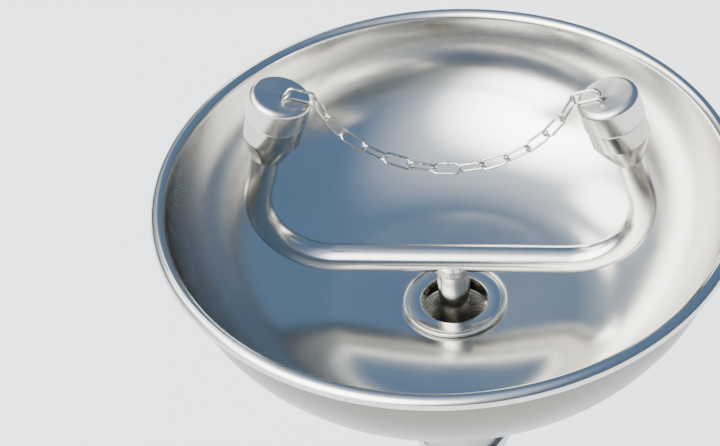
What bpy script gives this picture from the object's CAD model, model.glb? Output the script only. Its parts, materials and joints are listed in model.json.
import json
import math

import bmesh
import bpy
from mathutils import Matrix, Vector, noise


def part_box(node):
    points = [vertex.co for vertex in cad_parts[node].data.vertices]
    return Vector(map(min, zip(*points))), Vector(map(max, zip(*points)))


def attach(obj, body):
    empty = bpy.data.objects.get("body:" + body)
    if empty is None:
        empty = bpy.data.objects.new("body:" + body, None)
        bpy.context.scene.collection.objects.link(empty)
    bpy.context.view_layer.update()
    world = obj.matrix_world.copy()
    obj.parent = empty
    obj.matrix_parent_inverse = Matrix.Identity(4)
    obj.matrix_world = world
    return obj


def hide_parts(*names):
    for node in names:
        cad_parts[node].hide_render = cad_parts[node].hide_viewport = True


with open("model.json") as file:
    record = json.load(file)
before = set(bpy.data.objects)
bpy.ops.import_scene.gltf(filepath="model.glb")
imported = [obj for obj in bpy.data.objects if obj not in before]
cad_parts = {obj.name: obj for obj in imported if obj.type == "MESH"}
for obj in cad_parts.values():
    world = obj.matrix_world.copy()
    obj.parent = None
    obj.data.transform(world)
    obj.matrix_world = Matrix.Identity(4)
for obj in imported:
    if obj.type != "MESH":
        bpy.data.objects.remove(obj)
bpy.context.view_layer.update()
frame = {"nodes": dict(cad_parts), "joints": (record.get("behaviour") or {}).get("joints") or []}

MM = 0.001
TAU = 2 * math.pi

# ---------------------------------------------------------------- sizes, in metres
_, bowl_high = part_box("bowl")
BOWL_R = bowl_high.x
ROLL = 3.7 * MM
SHEET = 1.2 * MM
RIM_Z = bowl_high.z - ROLL
FILLET = 82 * MM
FLOOR_SLOPE = math.radians(4)
WALL_R = BOWL_R - 2 * ROLL
FILLET_R = WALL_R - FILLET

# The drain flange, its seal and its locknut
LIP_R = 28.6 * MM
LIP_ROUND = 1.1 * MM
FLANGE_T = 0.8 * MM
DRAIN_BORE = 18.2 * MM
TAIL_R = 20.95 * MM
HOLE_GAP = 0.2 * MM
THREAD_PITCH = 2.3 * MM
GROOVE_DEPTH = 0.55 * MM
THREAD_DEPTH = 0.7 * MM
NUT_AF = 54 * MM
COUNTERSINK = 0.8 * MM

# The riser and the yoke
RISER_R = 8.6 * MM
TUBE_R = 7.3 * MM
TUBE_WALL = 1.5 * MM
TUBE_BORE = TUBE_R - TUBE_WALL
COPE_DEPTH = 4.2 * MM
BAR_DROP = 52.6 * MM
BAR_HALF = 61.4 * MM
BEND_R = 37.3 * MM
ARM_TOP = 63.8 * MM
TUBE_END = 31 * MM

# A spray head, with heights along its arm
HEAD_R = 14.7 * MM
MOUTH_R = TUBE_R + 1.1 * MM
SOCKET_R = TUBE_R + 0.03 * MM
SPIGOT_R = 13.6 * MM
GROOVE_R = 11.75 * MM
SEAT_R = 11.8 * MM
CHAMBER_R = 10.2 * MM
CONE_START = 23.7 * MM
SOCKET_END = 30 * MM
THROAT_END = 32 * MM
CONE_END = 37.9 * MM
CHAMBER_START = 40 * MM
SPIGOT_START = 48.9 * MM
GROOVE_START = 52 * MM
GROOVE_END = 54.6 * MM
SEAT_START = 56 * MM
HEAD_TOP = 58 * MM

# A dust cap and its wire eye
CAP_R = 15.5 * MM
CAP_H = 14.6 * MM
CAP_ROUND = 3 * MM
CAP_WALL = 1.1 * MM
CAP_TOP_T = 1.2 * MM
EYE_HOLE_R = 1.7 * MM
EYE_RING_R = 2.2 * MM
EYE_WIRE_R = 0.55 * MM
EYE_NECK_R = 0.75 * MM
EYE_FOOT_R = 2.8 * MM
EYE_FOOT_T = 1 * MM
EYE_OFFSET = 1.3 * MM
EYE_LEAN = math.radians(35)
EYE_LIFT = 0.1 * MM
CHAIN_OUT = 2 * MM

# The chain
LINKS = 15
CHAIN_ROLL = math.radians(20)
ROLL_LINKS = 3
WIRE_R = 0.7 * MM
LINK_L = 15.5 * MM
LINK_W = 7.2 * MM
LINK_WELD = 0.13

joints = {j["name"]: j for j in frame["joints"]}
LEAN = math.asin(joints["cap_left_lift"]["axis"][0])
BAR_Z = RIM_Z - BAR_DROP
ARM_X = BAR_HALF + BEND_R * math.cos(LEAN)
ARM_Z = BAR_Z + BEND_R * (1 + math.sin(LEAN))

# ---------------------------------------------------------------- camera
TARGET = Vector((4.6 * MM, 0.4 * MM, RIM_Z - 27.8 * MM))
CAMERA_DISTANCE = 829 * MM
CAMERA_AZIMUTH = math.radians(5.2)
CAMERA_ELEVATION = math.radians(42.5)
CAMERA_ROLL = math.radians(-3.09)


def add_camera():
    """The photograph's view, down into the bowl from the user's side."""
    back = Vector((math.sin(CAMERA_AZIMUTH) * math.cos(CAMERA_ELEVATION),
                   -math.cos(CAMERA_AZIMUTH) * math.cos(CAMERA_ELEVATION),
                   math.sin(CAMERA_ELEVATION)))
    right = Vector((math.cos(CAMERA_AZIMUTH), math.sin(CAMERA_AZIMUTH), 0))
    up = back.cross(right)
    x_axis = right * math.cos(CAMERA_ROLL) + up * math.sin(CAMERA_ROLL)
    y_axis = up * math.cos(CAMERA_ROLL) - right * math.sin(CAMERA_ROLL)
    data = bpy.data.cameras.new("camera")
    data.sensor_width = 36
    data.lens = 80
    data.shift_x = -0.1375
    data.clip_start = 0.02
    data.clip_end = 50
    camera = bpy.data.objects.new("camera", data)
    bpy.context.scene.collection.objects.link(camera)
    spot = TARGET + back * CAMERA_DISTANCE
    camera.matrix_world = Matrix((
        (x_axis.x, y_axis.x, back.x, spot.x),
        (x_axis.y, y_axis.y, back.y, spot.y),
        (x_axis.z, y_axis.z, back.z, spot.z),
        (0, 0, 0, 1)))
    bpy.context.scene.camera = camera


add_camera()


# ---------------------------------------------------------------- material nodes
class Nodes:
    """A material's node tree, with short calls to add nodes and links."""

    def __init__(self, name):
        self.material = bpy.data.materials.new(name)
        self.material.use_nodes = True
        self.tree = self.material.node_tree
        self.shader = self.tree.nodes["Principled BSDF"]

    def add(self, kind, inputs=None, **settings):
        node = self.tree.nodes.new(kind)
        for key, value in settings.items():
            setattr(node, key, value)
        for key, value in (inputs or {}).items():
            if isinstance(value, bpy.types.NodeSocket):
                self.tree.links.new(value, node.inputs[key])
            else:
                node.inputs[key].default_value = value
        return node

    def math(self, operation, a, b=0.0):
        return self.add("ShaderNodeMath", {0: a, 1: b}, operation=operation).outputs[0]

    def remap(self, value, low, high):
        node = self.add("ShaderNodeMapRange", {"Value": value, "From Min": 0.3, "From Max": 0.7,
                                               "To Min": low, "To Max": high})
        return node.outputs["Result"]

    def mix(self, factor, a, b):
        node = self.add("ShaderNodeMix", data_type="RGBA")
        self.tree.links.new(factor, node.inputs["Factor"])
        node.inputs["A"].default_value = (*a, 1)
        node.inputs["B"].default_value = (*b, 1)
        return node.outputs["Result"]

    def noise(self, vector, scale, detail=3.0, roughness=0.55):
        node = self.add("ShaderNodeTexNoise", {"Vector": vector, "Scale": scale, "Detail": detail,
                                               "Roughness": roughness})
        return node.outputs["Fac"]

    def bump(self, height, strength, distance, normal=None):
        inputs = {"Height": height, "Strength": strength, "Distance": distance}
        if normal is not None:
            inputs["Normal"] = normal
        return self.add("ShaderNodeBump", inputs).outputs["Normal"]

    def shade(self, **values):
        for key, value in values.items():
            socket = self.shader.inputs[key.replace("_", " ")]
            if isinstance(value, bpy.types.NodeSocket):
                self.tree.links.new(value, socket)
            else:
                socket.default_value = value


STREAK_LENGTH = 6.25 * MM
TUBE_GIRTH = 40 * MM


def steel(name, light, dark, rough, spread, lines, line_pitch, line_bump, grain="ring", anisotropy=0.5):
    """Stainless steel. Fine lines run round the local Z axis (ring) or along the piece's length (length)."""
    n = Nodes(name)
    coords = n.add("ShaderNodeTexCoord")
    place = coords.outputs["Object"]
    split_uv = n.add("ShaderNodeSeparateXYZ", {0: coords.outputs["UV"]})
    if grain == "ring":
        xyz = n.add("ShaderNodeSeparateXYZ", {0: place})
        flat = n.add("ShaderNodeCombineXYZ", {"X": xyz.outputs["X"], "Y": xyz.outputs["Y"]})
        radial = n.add("ShaderNodeVectorMath", {0: flat.outputs[0]}, operation="NORMALIZE")
        turn = n.add("ShaderNodeSeparateXYZ", {0: radial.outputs[0]})
        across = n.math("DIVIDE", split_uv.outputs["Y"], line_pitch)
        vector = n.add("ShaderNodeCombineXYZ", {"X": n.math("MULTIPLY", turn.outputs["X"], 3.0),
                                                "Y": n.math("MULTIPLY", turn.outputs["Y"], 3.0),
                                                "Z": across}).outputs[0]
        n.shade(Tangent=n.add("ShaderNodeTangent", direction_type="RADIAL", axis="Z").outputs[0])
    else:
        around = n.math("MULTIPLY", split_uv.outputs["X"], TUBE_GIRTH / line_pitch)
        along = n.math("DIVIDE", split_uv.outputs["Y"], STREAK_LENGTH)
        vector = n.add("ShaderNodeCombineXYZ", {"X": around, "Y": along}).outputs[0]
    brush = n.noise(vector, 1.0, 4.0, 0.7)
    cloud = n.noise(place, 28.0, 4.0, 0.6)
    spots = n.noise(place, 420.0, 2.0, 0.5)
    roughness = n.math("ADD", n.remap(cloud, rough - spread, rough + spread),
                       n.math("MULTIPLY", n.math("SUBTRACT", brush, 0.5), lines))
    roughness = n.math("ADD", roughness, n.math("MULTIPLY", n.math("SUBTRACT", spots, 0.5), spread))
    tone = n.math("ADD", n.math("MULTIPLY", cloud, 0.6), n.math("MULTIPLY", brush, 0.4))
    normal = n.bump(brush, 0.35, line_bump)
    normal = n.bump(cloud, 0.12, 0.3 * MM, normal)
    n.shade(Base_Color=n.mix(tone, dark, light), Metallic=1.0, Roughness=roughness, Normal=normal,
            Anisotropic=anisotropy)
    return n.material


def cast_steel(name, light, dark):
    """Blasted cast stainless: a fine pitted skin."""
    n = Nodes(name)
    place = n.add("ShaderNodeTexCoord").outputs["Object"]
    pits = n.noise(place, 1400.0, 3.0, 0.6)
    cloud = n.noise(place, 60.0, 4.0, 0.6)
    n.shade(Base_Color=n.mix(cloud, dark, light), Metallic=1.0, Roughness=n.remap(cloud, 0.36, 0.5),
            Normal=n.bump(pits, 0.5, 0.2 * MM))
    return n.material


def weld_metal(name):
    """Weld bead with straw and grey heat tint."""
    n = Nodes(name)
    place = n.add("ShaderNodeTexCoord").outputs["Object"]
    cloud = n.noise(place, 260.0, 4.0, 0.65)
    grit = n.noise(place, 1500.0, 3.0, 0.6)
    tint = n.mix(n.remap(cloud, 0.0, 1.0), (0.30, 0.27, 0.24), (0.66, 0.64, 0.60))
    n.shade(Base_Color=tint, Metallic=1.0, Roughness=n.remap(grit, 0.28, 0.52),
            Normal=n.bump(grit, 0.5, 0.2 * MM))
    return n.material


def rubber(name, colour):
    """Dull rubber or black oxide, with a fine grit."""
    n = Nodes(name)
    place = n.add("ShaderNodeTexCoord").outputs["Object"]
    grit = n.noise(place, 1800.0, 3.0, 0.6)
    cloud = n.noise(place, 90.0, 3.0, 0.5)
    lighter = tuple(c * 1.8 + 0.01 for c in colour)
    n.shade(Base_Color=n.mix(cloud, colour, lighter), Roughness=n.remap(cloud, 0.55, 0.75),
            Normal=n.bump(grit, 0.4, 0.15 * MM))
    return n.material


def plastic(name, colour, rough):
    """Moulded plastic with a faint grain."""
    n = Nodes(name)
    place = n.add("ShaderNodeTexCoord").outputs["Object"]
    cloud = n.noise(place, 120.0, 3.0, 0.5)
    grit = n.noise(place, 2600.0, 2.0, 0.5)
    shade = tuple(c * 0.93 for c in colour)
    n.shade(Base_Color=n.mix(cloud, shade, colour), Roughness=n.remap(cloud, rough, rough + 0.12),
            Normal=n.bump(grit, 0.2, 0.08 * MM))
    return n.material


BOWL_STEEL = steel("bowl_steel", (0.61, 0.595, 0.56), (0.56, 0.545, 0.51), rough=0.16, spread=0.02,
                   lines=0.05, line_pitch=0.35 * MM, line_bump=0.01 * MM, anisotropy=0.3)
OUTSIDE_STEEL = steel("bowl_outside", (0.21, 0.192, 0.165), (0.15, 0.138, 0.12), rough=0.3, spread=0.05,
                      lines=0.1, line_pitch=0.35 * MM, line_bump=0.01 * MM)
TUBE_STEEL = steel("tube_steel", (0.58, 0.565, 0.53), (0.52, 0.505, 0.47), rough=0.2, spread=0.02,
                   lines=0.04, line_pitch=0.4 * MM, line_bump=0.004 * MM, grain="length", anisotropy=0.2)
TURNED_STEEL = steel("turned_steel", (0.52, 0.50, 0.455), (0.44, 0.42, 0.375), rough=0.18, spread=0.02,
                     lines=0.08, line_pitch=0.3 * MM, line_bump=0.01 * MM)
CAP_STEEL = steel("cap_steel", (0.62, 0.60, 0.56), (0.54, 0.52, 0.48), rough=0.25, spread=0.02,
                  lines=0.08, line_pitch=0.3 * MM, line_bump=0.01 * MM)
BRIGHT_STEEL = steel("chain_steel", (0.66, 0.64, 0.60), (0.40, 0.38, 0.35), rough=0.12, spread=0.03,
                     lines=0.04, line_pitch=0.5 * MM, line_bump=0.01 * MM, grain="length", anisotropy=0.0)
PLATE_STEEL = steel("lever_steel", (0.55, 0.545, 0.53), (0.43, 0.425, 0.41), rough=0.26, spread=0.05,
                    lines=0.16, line_pitch=0.3 * MM, line_bump=0.02 * MM, grain="length", anisotropy=0.3)
NUT_STEEL = steel("fastener_steel", (0.54, 0.535, 0.52), (0.40, 0.395, 0.38), rough=0.24, spread=0.05,
                  lines=0.10, line_pitch=0.3 * MM, line_bump=0.02 * MM)
CAST_STEEL = cast_steel("cast_steel", (0.44, 0.43, 0.415), (0.33, 0.325, 0.31))
WELD_METAL = weld_metal("weld_steel")
BLACK_RUBBER = rubber("black_rubber", (0.02, 0.02, 0.02))
BLACK_OXIDE = rubber("black_screw", (0.03, 0.03, 0.035))
WHITE_PLASTIC = plastic("white_plastic", (0.82, 0.83, 0.83), 0.4)
SEAL_PLASTIC = plastic("seal_plastic", (0.88, 0.86, 0.80), 0.45)

# ---------------------------------------------------------------- mesh helpers
SHARP = math.radians(38)
MERGE = 1e-7


def mesh_object(name, bm):
    """Turns the built mesh into an object in the scene."""
    mesh = bpy.data.meshes.new(name)
    bm.to_mesh(mesh)
    bm.free()
    made = bpy.data.objects.new(name, mesh)
    bpy.context.scene.collection.objects.link(made)
    return made


def finish_piece(name, bm, material, body, replaced, matrix=None):
    """Closes, shades and places a piece, and says what it rides on and replaces."""
    bmesh.ops.remove_doubles(bm, verts=bm.verts, dist=MERGE)
    bmesh.ops.recalc_face_normals(bm, faces=bm.faces)
    for face in bm.faces:
        face.smooth = True
    for edge in bm.edges:
        if len(edge.link_faces) == 2 and edge.calc_face_angle(0) > SHARP:
            edge.smooth = False
    piece = mesh_object(name, bm)
    piece.data.materials.append(material)
    if matrix is not None:
        piece.matrix_world = matrix
    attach(piece, body)
    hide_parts(*replaced)
    return piece


def fillet_loop(corners, steps=6):
    """A closed outline from (x, y, fillet radius) corners."""
    out = []
    for i, (x, y, radius) in enumerate(corners):
        here = Vector((x, y))
        before = Vector(corners[i - 1][:2]) - here
        after = Vector(corners[(i + 1) % len(corners)][:2]) - here
        if radius <= 0:
            out.append(here)
            continue
        half = before.angle(after) / 2
        cut = min(radius / math.tan(half), 0.49 * before.length, 0.49 * after.length)
        fitted = cut * math.tan(half)
        centre = here + (before.normalized() + after.normalized()).normalized() * fitted / math.sin(half)
        first = here + before.normalized() * cut - centre
        last = here + after.normalized() * cut - centre
        start = math.atan2(first.y, first.x)
        swing = (math.atan2(last.y, last.x) - start + math.pi) % TAU - math.pi
        for k in range(steps + 1):
            angle = start + swing * k / steps
            out.append(centre + fitted * Vector((math.cos(angle), math.sin(angle))))
    return out


def arc(cx, cy, radius, start, end, steps):
    """Points on an arc, with angles in degrees."""
    return [Vector((cx + radius * math.cos(math.radians(start + (end - start) * k / steps)),
                    cy + radius * math.sin(math.radians(start + (end - start) * k / steps))))
            for k in range(steps + 1)]


def grid(bm, rows, closed_rows, lengths):
    """Quads between rows of points that close round. lengths runs along the rows and gives the UV map's V."""
    uv = bm.loops.layers.uv.verify()
    count = len(rows[0])
    made = [[bm.verts.new(p) for p in row] for row in rows]
    pairs = [(i, i + 1) for i in range(len(rows) - 1)]
    if closed_rows:
        pairs.append((len(rows) - 1, 0))
    for a, b in pairs:
        va, vb = lengths[a], lengths[a + 1]
        for k in range(count):
            q = (k + 1) % count
            corners = [(made[a][k], k / count, va), (made[a][q], (k + 1) / count, va),
                       (made[b][q], (k + 1) / count, vb), (made[b][k], k / count, vb)]
            kept = []
            for corner in corners:
                if all((corner[0].co - other[0].co).length > MERGE for other in kept):
                    kept.append(corner)
            if len(kept) < 3:
                continue
            face = bm.faces.new([c[0] for c in kept])
            for loop, c in zip(face.loops, kept):
                loop[uv].uv = (c[1], c[2])
    return made


def lathe_into(bm, outline, segments, reach=None):
    """Turns a closed outline of (r, z) round Z. reach(angle, z) may limit the radius, as a hexagon does."""
    lengths = [0.0]
    for i in range(len(outline)):
        lengths.append(lengths[-1] + (outline[(i + 1) % len(outline)] - outline[i]).length)
    rows = []
    for p in outline:
        row = []
        for k in range(segments):
            angle = TAU * k / segments
            r = max(p.x, 0.0)
            if reach:
                r = min(r, reach(angle, p.y))
            row.append(Vector((r * math.cos(angle), r * math.sin(angle), p.y)))
        rows.append(row)
    grid(bm, rows, True, lengths)


def sweep_into(bm, path, sides_at, radius_at, closed, ring=24):
    """A round section along a path. sides_at and radius_at give its side and radius at each point."""
    count = len(path)
    rows, lengths = [], [0.0]
    for i, p in enumerate(path):
        before = path[i - 1] if closed or i else p
        after = path[(i + 1) % count] if closed or i < count - 1 else p
        tangent = (after - before).normalized()
        side = sides_at(i)
        side = (side - tangent * side.dot(tangent)).normalized()
        other = tangent.cross(side)
        radius = radius_at(i)
        rows.append([p + side * radius * math.cos(TAU * k / ring) + other * radius * math.sin(TAU * k / ring)
                     for k in range(ring)])
        lengths.append(lengths[-1] + (path[(i + 1) % count] - p).length)
    made = grid(bm, rows, closed, lengths)
    if not closed:
        bm.faces.new(made[0])
        bm.faces.new(made[-1])


def lathe(name, outline, material, body, replaced, segments=128, matrix=None, reach=None):
    bm = bmesh.new()
    lathe_into(bm, outline, segments, reach)
    return finish_piece(name, bm, material, body, replaced, matrix)


def hexagon(af):
    """The radius of a hexagon across flats af, by angle."""
    def reach(angle, _z):
        return af / 2 / math.cos((angle + math.pi / 6) % (math.pi / 3) - math.pi / 6)
    return reach


def arm_matrix(side):
    """The arm's own frame: origin at the bend's end, Z along the arm."""
    return Matrix.Translation((side * ARM_X, 0, ARM_Z)) @ Matrix.Rotation(-side * LEAN, 4, "Y")


# ---------------------------------------------------------------- bowl
def bowl_outline():
    """The sheet's section: round the roll, down the inside, back under the floor and up the outside."""
    floor_end = -(90 - math.degrees(FLOOR_SLOPE))
    hole_r = TAIL_R + HOLE_GAP
    inner = arc(FILLET_R, RIM_Z, FILLET, 0, floor_end, 72)
    outer = arc(FILLET_R, RIM_Z, FILLET + SHEET, floor_end, 0, 72)
    floor_in = inner[-1]
    floor_out = outer[0]
    hole_in = Vector((hole_r, floor_in.y - (floor_in.x - hole_r) * math.tan(FLOOR_SLOPE)))
    hole_out = Vector((hole_r, floor_out.y - (floor_out.x - hole_r) * math.tan(FLOOR_SLOPE)))
    rim_x = BOWL_R - ROLL
    roll_out = arc(rim_x, RIM_Z, ROLL, -115, 180, 40)
    roll_in = arc(rim_x, RIM_Z, ROLL - SHEET, 180, -115, 32)
    floor_steps = 20
    top = [hole_in.lerp(floor_in, k / floor_steps) for k in range(floor_steps)]
    under = [floor_out.lerp(hole_out, k / floor_steps) for k in range(1, floor_steps + 1)]
    return roll_out[:-1] + inner + list(reversed(top)) + list(reversed(under)) + outer[:-1] + roll_in


def spun_bowl():
    """The bowl, bright inside and on the rim, with a duller skin outside."""
    bowl = lathe("spun_bowl", bowl_outline(), BOWL_STEEL, "bowl_unit", ["bowl"], segments=256)
    bowl.data.materials.append(OUTSIDE_STEEL)
    for face in bowl.data.polygons:
        middle = face.center
        r = math.hypot(middle.x, middle.y)
        outward = face.normal.x * middle.x + face.normal.y * middle.y
        faces_out = outward > 0 or face.normal.z < -0.5
        if middle.z < RIM_Z - ROLL and faces_out and r > TAIL_R + 1 * MM:
            face.material_index = 1


spun_bowl()


# ---------------------------------------------------------------- drain
def drain_outline():
    """A flange with a rounded lip and a groove, over a tail threaded inside and outside."""
    low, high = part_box("drain_flange")
    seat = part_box("flange_seal")[1].z
    face = seat + FLANGE_T
    lip_inner = LIP_R - 2 * LIP_ROUND
    inside = []
    z = low.z + 1.5 * MM
    while z < seat - 9 * MM:
        inside += [(DRAIN_BORE, z, 0.1 * MM),
                   (DRAIN_BORE + GROOVE_DEPTH, z + THREAD_PITCH * 0.3, 0.15 * MM),
                   (DRAIN_BORE + GROOVE_DEPTH, z + THREAD_PITCH * 0.6, 0.15 * MM),
                   (DRAIN_BORE, z + THREAD_PITCH * 0.9, 0.1 * MM)]
        z += THREAD_PITCH
    outside = []
    z = seat - 6 * MM
    while z > low.z + 2 * MM:
        outside += [(TAIL_R, z, 0), (TAIL_R - THREAD_DEPTH, z - THREAD_PITCH * 0.5, 0),
                    (TAIL_R, z - THREAD_PITCH, 0)]
        z -= THREAD_PITCH
    bottom_inner = [(DRAIN_BORE, low.z, 0.2 * MM)]
    bottom_outer = [(TAIL_R, low.z, 0.3 * MM)]
    top = [(DRAIN_BORE, face, 0.35 * MM), (lip_inner - LIP_ROUND, face, 0.2 * MM),
           (lip_inner - 0.9 * MM, face - 0.55 * MM, 0.1 * MM)]
    crest = arc(LIP_R - LIP_ROUND, high.z - LIP_ROUND, LIP_ROUND, -75, 215, 30)
    lip = [(p.x, p.y, 0) for p in reversed(crest)]
    foot = [(lip_inner, seat, 0), (TAIL_R, seat, 0)]
    return fillet_loop(bottom_inner + inside + top + lip + foot + outside + bottom_outer, 4)


lathe("ring_drain", drain_outline(), BOWL_STEEL, "bowl_unit", ["drain_flange"], segments=160)


def flat_ring(name, node, material, rounding):
    """A seal or washer round the drain's tail."""
    low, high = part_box(node)
    inner = TAIL_R + (HOLE_GAP if node == "flange_seal" else 0)
    outline = fillet_loop([(inner, low.z, rounding), (high.x, low.z, rounding),
                           (high.x, high.z, rounding), (inner, high.z, rounding)])
    lathe(name, outline, material, "bowl_unit", [node])


flat_ring("drain_seal", "flange_seal", BLACK_RUBBER, 0.2 * MM)
flat_ring("gasket", "drain_gasket", BLACK_RUBBER, 0.5 * MM)
flat_ring("washer", "drain_washer", NUT_STEEL, 0.25 * MM)


def locknut():
    """A hexagon nut with turned-off corners and a countersunk bore."""
    box_low, box_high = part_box("drain_locknut")
    low, high = box_low.z, box_high.z
    point = NUT_AF / 2 / math.cos(math.pi / 6)
    chamfer = (point - NUT_AF / 2) * 0.62
    start = NUT_AF / 2 - 0.2 * MM
    steps = 9
    crown = [Vector((start + (point - start) * k / steps, chamfer * (k / steps) ** 1.6))
             for k in range(steps + 1)]
    outline = [Vector((TAIL_R, low + COUNTERSINK)), Vector((TAIL_R + COUNTERSINK, low))]
    outline += [Vector((p.x, low + p.y)) for p in crown]
    outline += [Vector((p.x, high - p.y)) for p in reversed(crown)]
    outline += [Vector((TAIL_R + COUNTERSINK, high)), Vector((TAIL_R, high - COUNTERSINK))]
    lathe("locknut", outline, NUT_STEEL, "bowl_unit", ["drain_locknut"], 144,
          reach=hexagon(NUT_AF))


locknut()


# ---------------------------------------------------------------- riser, weld and yoke
def riser():
    """The riser, with its top coped over the yoke's bar."""
    low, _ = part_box("riser")
    segments = 128
    steps = 40
    ring_gap = 4 * MM
    rows, lengths = [], [0.0]
    for r, order in ((RISER_R, range(steps + 1)), (RISER_R - TUBE_WALL, range(steps, -1, -1))):
        for k in order:
            row = []
            for s in range(segments):
                angle = TAU * s / segments
                y = r * math.sin(angle)
                top = BAR_Z - math.sqrt(max(TUBE_R ** 2 - y ** 2, COPE_DEPTH ** 2))
                row.append(Vector((r * math.cos(angle), y, low.z + (top - low.z) * k / steps)))
            rows.append(row)
            lengths.append(len(rows) * ring_gap)
    bm = bmesh.new()
    grid(bm, rows, True, lengths)
    finish_piece("riser_tube", bm, TUBE_STEEL, "bowl_unit", ["riser"])


riser()


def weld_bead():
    """A lumpy collar of weld between the riser's top and the bar."""
    low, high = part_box("riser_weld")
    inner = RISER_R - 0.4 * MM
    crown = RISER_R + 1.25 * MM
    top_inner = RISER_R - 3.4 * MM
    outline = fillet_loop([(inner, low.z, 0), (RISER_R + 0.2 * MM, low.z, 0.1 * MM),
                           (crown, low.z + 1.5 * MM, 0.9 * MM), (crown, high.z - 1.9 * MM, 1.1 * MM),
                           (RISER_R - 0.2 * MM, high.z - 0.2 * MM, 0.8 * MM),
                           (top_inner, high.z, 0), (top_inner, high.z - 2.4 * MM, 0),
                           (inner, high.z - 5.0 * MM, 0)], 8)
    bm = bmesh.new()
    lathe_into(bm, outline, 180)
    lump_height = 0.32 * MM
    ripple_height = 0.07 * MM
    sag = 0.25 * MM
    for vert in bm.verts:
        out = Vector((vert.co.x, vert.co.y, 0))
        if out.length < inner + 0.05 * MM:
            continue
        angle = math.atan2(out.y, out.x)
        lump = lump_height * noise.noise(vert.co * 330.0)
        ripple = ripple_height * math.sin(angle * 30 + vert.co.z * 700)
        vert.co += out.normalized() * (lump + ripple)
        vert.co.z += sag * noise.noise(out.normalized() * 2.6)
    finish_piece("weld_bead", bm, WELD_METAL, "bowl_unit", ["riser_weld"])


weld_bead()


def yoke_path():
    """The bar from its middle, then a bend and a leaning arm, and the same mirrored."""
    bar_steps = 24
    bend_steps = 48
    arm_steps = 8
    half = [Vector((BAR_HALF * k / bar_steps, 0, BAR_Z)) for k in range(bar_steps)]
    bend = arc(BAR_HALF, BAR_Z + BEND_R, BEND_R, -90, math.degrees(LEAN), bend_steps)
    half += [Vector((p.x, 0, p.y)) for p in bend]
    along = arm_matrix(1).to_3x3() @ Vector((0, 0, 1))
    half += [Vector((ARM_X, 0, ARM_Z)) + along * TUBE_END * k / arm_steps for k in range(1, arm_steps + 1)]
    mirrored = [Vector((-p.x, 0, p.z)) for p in reversed(half[1:])]
    return mirrored + half


def yoke():
    bm = bmesh.new()
    sweep_into(bm, yoke_path(), lambda i: Vector((0, 1, 0)), lambda i: TUBE_R, False, 48)
    finish_piece("yoke_tube", bm, TUBE_STEEL, "bowl_unit", ["yoke"])


yoke()


# ---------------------------------------------------------------- spray heads and caps
def head(side, word):
    """A turned head: a cone out of the tube, a grooved spigot for the cap, and a stepped bore."""
    outline = fillet_loop([(SOCKET_R, CONE_START, 0.2 * MM), (MOUTH_R, CONE_START, 0.5 * MM),
                           (HEAD_R, CONE_END, 1.2 * MM), (HEAD_R, SPIGOT_START, 0.5 * MM),
                           (SPIGOT_R, SPIGOT_START, 0), (SPIGOT_R, GROOVE_START, 0.15 * MM),
                           (GROOVE_R, GROOVE_START, 0.1 * MM), (GROOVE_R, GROOVE_END, 0.1 * MM),
                           (SPIGOT_R, GROOVE_END, 0.15 * MM), (SPIGOT_R, HEAD_TOP, 0.7 * MM),
                           (SEAT_R, HEAD_TOP, 0.25 * MM), (SEAT_R, SEAT_START, 0),
                           (CHAMBER_R, SEAT_START, 0), (CHAMBER_R, CHAMBER_START, 0.5 * MM),
                           (TUBE_BORE, THROAT_END, 0.5 * MM), (TUBE_BORE, SOCKET_END, 0),
                           (SOCKET_R, SOCKET_END, 0)])
    lathe("head_body_" + word, outline, TURNED_STEEL, "bowl_unit", ["head_" + word],
          144, arm_matrix(side))


def cap(side, word):
    """A drawn cup with a hole for the eye's shank, cut off its centre."""
    low = ARM_TOP - CAP_H
    inner = CAP_R - CAP_WALL
    ceiling = ARM_TOP - CAP_TOP_T
    outline = fillet_loop([(0, ARM_TOP, 0), (0, ceiling, 0), (inner, ceiling, CAP_ROUND - CAP_WALL),
                           (inner, low, 0.3 * MM), (CAP_R, low, 0.5 * MM), (CAP_R, ARM_TOP, CAP_ROUND)], 12)
    bm = bmesh.new()
    lathe_into(bm, outline, 160)
    bmesh.ops.remove_doubles(bm, verts=bm.verts, dist=MERGE)
    bmesh.ops.recalc_face_normals(bm, faces=bm.faces)
    blank = mesh_object("blank", bm)
    bm = bmesh.new()
    hole_at = Matrix.Translation((-side * EYE_OFFSET, -CHAIN_OUT, ARM_TOP))
    bmesh.ops.create_cone(bm, cap_ends=True, segments=32, radius1=EYE_HOLE_R, radius2=EYE_HOLE_R,
                          depth=8 * MM, matrix=hole_at)
    cutter = mesh_object("cutter", bm)
    cut = blank.modifiers.new("hole", "BOOLEAN")
    cut.operation = "DIFFERENCE"
    cut.solver = "EXACT"
    cut.object = cutter
    bpy.context.view_layer.update()
    done = blank.evaluated_get(bpy.context.evaluated_depsgraph_get())
    bm = bmesh.new()
    bm.from_mesh(done.to_mesh())
    done.to_mesh_clear()
    for temporary in (blank, cutter):
        bpy.data.objects.remove(temporary)
    finish_piece("dust_cap_" + word, bm, CAP_STEEL, "dust_cap_" + word, ["cap_" + word],
                 arm_matrix(side))


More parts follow.
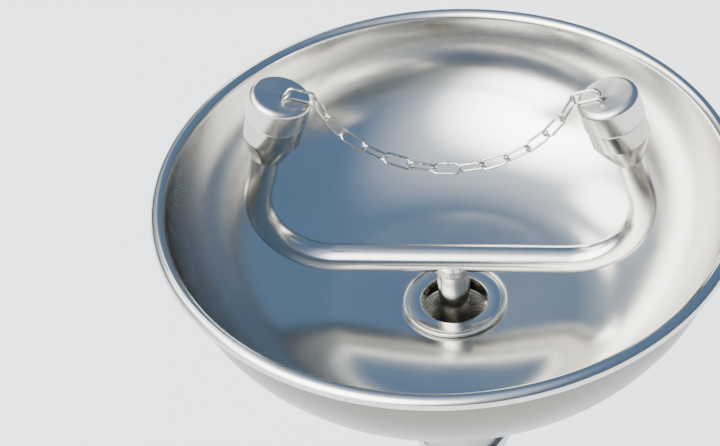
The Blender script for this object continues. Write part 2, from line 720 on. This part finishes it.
def cap_eye(side, word):
    """A wire eye that leans towards the chain, with its shank riveted under the cap's top."""
    foot = Vector((-side * EYE_OFFSET, -CHAIN_OUT, 0))
    lean = Vector((-side * math.sin(EYE_LEAN), 0, math.cos(EYE_LEAN)))
    across = Vector((math.cos(EYE_LEAN), 0, side * math.sin(EYE_LEAN)))
    neck = ARM_TOP + EYE_LIFT
    centre = foot + Vector((0, 0, neck)) + lean * EYE_RING_R
    steps = 48
    turns = [TAU * k / steps for k in range(steps)]
    path = [centre + EYE_RING_R * (Vector((0, math.cos(a), 0)) + lean * math.sin(a)) for a in turns]
    bm = bmesh.new()
    rivet_top = ARM_TOP - CAP_TOP_T
    bottom = rivet_top - EYE_FOOT_T
    shank = fillet_loop([(0, bottom, 0), (EYE_FOOT_R, bottom, 0.35 * MM), (EYE_FOOT_R, rivet_top, 0.1 * MM),
                         (EYE_NECK_R + 0.05 * MM, rivet_top, 0.05 * MM), (EYE_NECK_R, neck, 0.2 * MM),
                         (0, neck, 0)])
    lathe_into(bm, shank, 32)
    bmesh.ops.translate(bm, verts=bm.verts, vec=foot)
    sweep_into(bm, path, lambda i: across, lambda i: EYE_WIRE_R, True, 16)
    finish_piece("chain_eye_" + word, bm, BRIGHT_STEEL, "dust_cap_" + word, ["cap_eye_" + word],
                 arm_matrix(side))


for side, word in ((-1, "left"), (1, "right")):
    head(side, word)
    cap(side, word)
    cap_eye(side, word)


# ---------------------------------------------------------------- chain
def link_path(count=96):
    """One closed stadium in the XY plane, from even steps of length."""
    bend = LINK_W / 2 - WIRE_R
    half = LINK_L / 2 - WIRE_R - bend
    total = 4 * half + TAU * bend
    points = []
    for k in range(count):
        s = total * k / count
        if s < 2 * half:
            points.append(Vector((-half + s, -bend, 0)))
            continue
        s -= 2 * half
        if s < math.pi * bend:
            a = s / bend - math.pi / 2
            points.append(Vector((half + bend * math.cos(a), bend * math.sin(a), 0)))
            continue
        s -= math.pi * bend
        if s < 2 * half:
            points.append(Vector((half - s, bend, 0)))
            continue
        a = (s - 2 * half) / bend + math.pi / 2
        points.append(Vector((-half + bend * math.cos(a), bend * math.sin(a), 0)))
    return points


def link_slopes():
    """Each link's slope, from the frame's chain joints. Pivot k lies between links k and k + 1."""
    middle = (LINKS + 1) // 2
    pivots = {k: Vector(joints[f"link_{k + 1:02d}_turn"]["pos_m"]) for k in range(1, middle)}
    pivots.update({k: Vector(joints[f"link_{k:02d}_turn"]["pos_m"]) for k in range(middle + 1, LINKS)})
    # The two half chains only touch at this pivot, so it is no joint and mirrors the one before it
    pivots[middle] = Vector((-pivots[middle - 1].x, pivots[middle - 1].y, pivots[middle - 1].z))
    slopes = {1: -LEAN, LINKS: LEAN}
    for k in range(2, LINKS):
        run = pivots[k] - pivots[k - 1]
        slopes[k] = math.atan2(run.z, run.x)
    return slopes


def link_roll(k):
    """How far a link is turned about the chain. It grows from nothing at the ends."""
    return CHAIN_ROLL * min(1, (min(k, LINKS + 1 - k) - 1) / ROLL_LINKS)


def chain():
    """Links that lie and stand in turn, each with a small weld in one long side."""
    path = link_path()
    weld_at = Vector((0, LINK_W / 2 - WIRE_R, 0))
    weld_reach = 0.9 * MM

    def radius_at(i):
        gap = (path[i] - weld_at).length / weld_reach
        return WIRE_R * (1 + LINK_WELD * math.exp(-gap * gap))

    for k, slope in link_slopes().items():
        word = f"link_{k:02d}"
        low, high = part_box(word)
        standing = math.pi / 2 if k % 2 == 1 else 0
        turn = Matrix.Rotation(-slope, 4, "Y") @ Matrix.Rotation(link_roll(k) + standing, 4, "X")
        bm = bmesh.new()
        sweep_into(bm, path, lambda i: Vector((0, 0, 1)), radius_at, True, 18)
        body = "dust_cap_left" if k == 1 else "dust_cap_right" if k == LINKS else "chain_" + word
        finish_piece("chain_" + word + "_wire", bm, BRIGHT_STEEL, body, [word],
                     Matrix.Translation((low + high) / 2) @ turn)


chain()


# ---------------------------------------------------------------- materials of the CAD nodes that stay
CAD_LOOKS = {
    CAST_STEEL: ["waste_tee", "valve_body", "valve_end"],
    NUT_STEEL: ["gland_body", "gland_nut", "stem_nut", "plate_screws", "plate_nuts"],
    PLATE_STEEL: ["lever_hub", "lever_rod", "push_plate", "valve_stem"],
    BRIGHT_STEEL: ["spray_plate_left", "spray_plate_right", "strainer_left", "strainer_right", "valve_ball"],
    BLACK_RUBBER: ["head_ring_left", "head_ring_right"],
    BLACK_OXIDE: ["hub_screw"],
    WHITE_PLASTIC: ["flow_disc_left", "flow_disc_right"],
    SEAL_PLASTIC: ["gland_packing", "seat_upper", "seat_lower", "stem_packing"],
}


def dress_cad_nodes():
    """Gives each remaining CAD node its material in every slot."""
    for material, names in CAD_LOOKS.items():
        for name in names:
            node = frame["nodes"][name]
            if not node.material_slots:
                node.data.materials.append(material)
            for place in node.material_slots:
                place.material = material


dress_cad_nodes()

# ---------------------------------------------------------------- floor, world and lights
FLOOR_Z = RIM_Z - 0.85
FLOOR_HALF = 9.0
LAMP_DISTANCE = 3.0
LAMP_SIZE = 0.5
LAMP_COLOUR = (1.0, 0.97, 0.92)


def add_floor():
    n = Nodes("pale_floor")
    place = n.add("ShaderNodeTexCoord").outputs["Object"]
    cloud = n.noise(place, 1.2, 3.0, 0.5)
    n.shade(Base_Color=n.mix(cloud, (0.88, 0.88, 0.875), (0.91, 0.91, 0.905)), Roughness=0.7)
    mesh = bpy.data.meshes.new("floor")
    corners = [(x * FLOOR_HALF, y * FLOOR_HALF, FLOOR_Z) for x, y in ((-1, -1), (1, -1), (1, 1), (-1, 1))]
    mesh.from_pydata(corners, [], [(0, 1, 2, 3)])
    mesh.materials.append(n.material)
    floor = bpy.data.objects.new("floor", mesh)
    bpy.context.scene.collection.objects.link(floor)


def add_world():
    """A soft blue sky with a broad bright glow on the viewer's left, as from large windows."""
    world = bpy.data.worlds.new("soft_sky")
    bpy.context.scene.world = world
    world.use_nodes = True
    tree = world.node_tree
    background = tree.nodes["Background"]
    coords = tree.nodes.new("ShaderNodeTexCoord")

    def glow(below, direction, low, high, colour, blend="ADD"):
        """Blends in a colour round a direction. It starts at the cosine low and is full at high."""
        dot = tree.nodes.new("ShaderNodeVectorMath")
        dot.operation = "DOT_PRODUCT"
        tree.links.new(coords.outputs["Generated"], dot.inputs[0])
        dot.inputs[1].default_value = Vector(direction).normalized()
        spread = tree.nodes.new("ShaderNodeMapRange")
        spread.interpolation_type = "SMOOTHSTEP"
        spread.inputs["From Min"].default_value = low
        spread.inputs["From Max"].default_value = high
        tree.links.new(dot.outputs["Value"], spread.inputs["Value"])
        mix = tree.nodes.new("ShaderNodeMix")
        mix.data_type = "RGBA"
        mix.blend_type = blend
        tree.links.new(spread.outputs["Result"], mix.inputs["Factor"])
        if isinstance(below, bpy.types.NodeSocket):
            tree.links.new(below, mix.inputs["A"])
        else:
            mix.inputs["A"].default_value = (*below, 1)
        mix.inputs["B"].default_value = (*colour, 1)
        return mix.outputs["Result"]

    # Blue over a grey ground, then a haze on the viewer's left with a bright core, then three smaller patches
    sky = glow((0.165, 0.295, 0.53), (0, 0, -1), -0.5, -0.2, (0.19, 0.23, 0.27), "MIX")
    sky = glow(sky, (-0.55, -0.45, 0.7), 0.3, 1.0, (1.4, 1.45, 1.5))
    sky = glow(sky, (-0.55, -0.6, 0.58), 0.7, 1.02, (14.0, 14.0, 13.8))
    sky = glow(sky, (-1, -0.1, 0.6), 0.84, 1.0, (0.8, 0.8, 0.8))
    sky = glow(sky, (-0.5, 0.55, 0.65), 0.86, 1.0, (0.35, 0.35, 0.3))
    sky = glow(sky, (-0.66, 0.25, 0.70), 0.96, 0.992, (8.0, 8.0, 7.8))
    tree.links.new(sky, background.inputs["Color"])
    background.inputs["Strength"].default_value = 1.0


def add_lamp(name, toward, power):
    """A round soft lamp that stands off the rim in a direction and faces it."""
    centre = Vector((0, 0, RIM_Z))
    spot = centre + Vector(toward).normalized() * LAMP_DISTANCE
    data = bpy.data.lights.new(name, "AREA")
    data.shape = "DISK"
    data.size = LAMP_SIZE
    data.energy = power
    data.color = LAMP_COLOUR
    lamp = bpy.data.objects.new(name, data)
    bpy.context.scene.collection.objects.link(lamp)
    lamp.location = spot
    lamp.rotation_euler = (centre - spot).to_track_quat("-Z", "Y").to_euler()


add_floor()
add_world()
add_lamp("lamp_high", (-0.38, 0.57, 0.73), 6)
add_lamp("lamp_low", (-0.30, 0.87, 0.38), 8)
